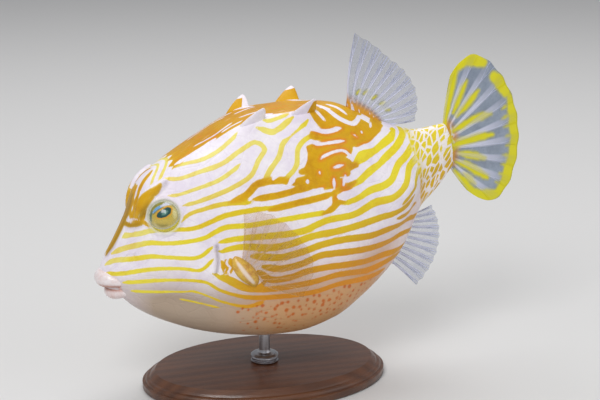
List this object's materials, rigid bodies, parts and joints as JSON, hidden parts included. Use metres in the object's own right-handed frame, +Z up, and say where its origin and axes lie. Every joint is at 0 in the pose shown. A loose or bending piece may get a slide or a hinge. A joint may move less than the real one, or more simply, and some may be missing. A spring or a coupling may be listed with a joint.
{
  "type": "shaws boxfish display model",
  "caption": "Life-size still model of a Shaw's boxfish: a deep, boxy striped reef fish with ridge spines, fan fins and a broad tail, held nose-down on a plain stand.",
  "frame": {"origin": "on the surface the stand rests on, under the middle of the whole model's box", "axes": "+X from the head towards the tail, level, +Y to the fish's right side, +Z up"},
  "size_m": [0.1642, 0.062, 0.1251],
  "materials": {
    "hide": "painted skin with yellow stripes over white, satin",
    "lips": "pale pink painted skin, satin",
    "eye": "glossy painted eye with a dark green pupil",
    "fin_web": "milky translucent fin web with pale rays",
    "tail_web": "yellow-edged fin web with yellow streaks on blue-grey",
    "stand_wood": "dark stained wood, satin",
    "stand_steel": "brushed steel"
  },
  "bodies": {
    "root": {"head": "hide", "trunk": "hide", "tail_stalk": "hide", "upper_lip": "lips", "lower_lip": "lips", "eye_left": "eye", "eye_right": "eye", "dorsal_fin": "fin_web", "anal_fin": "fin_web", "side_fin_left": "fin_web", "side_fin_right": "fin_web", "tail_fin": "tail_web", "stand_base": "stand_wood", "stand_rod": "stand_steel"}
  },
  "joints": []
}
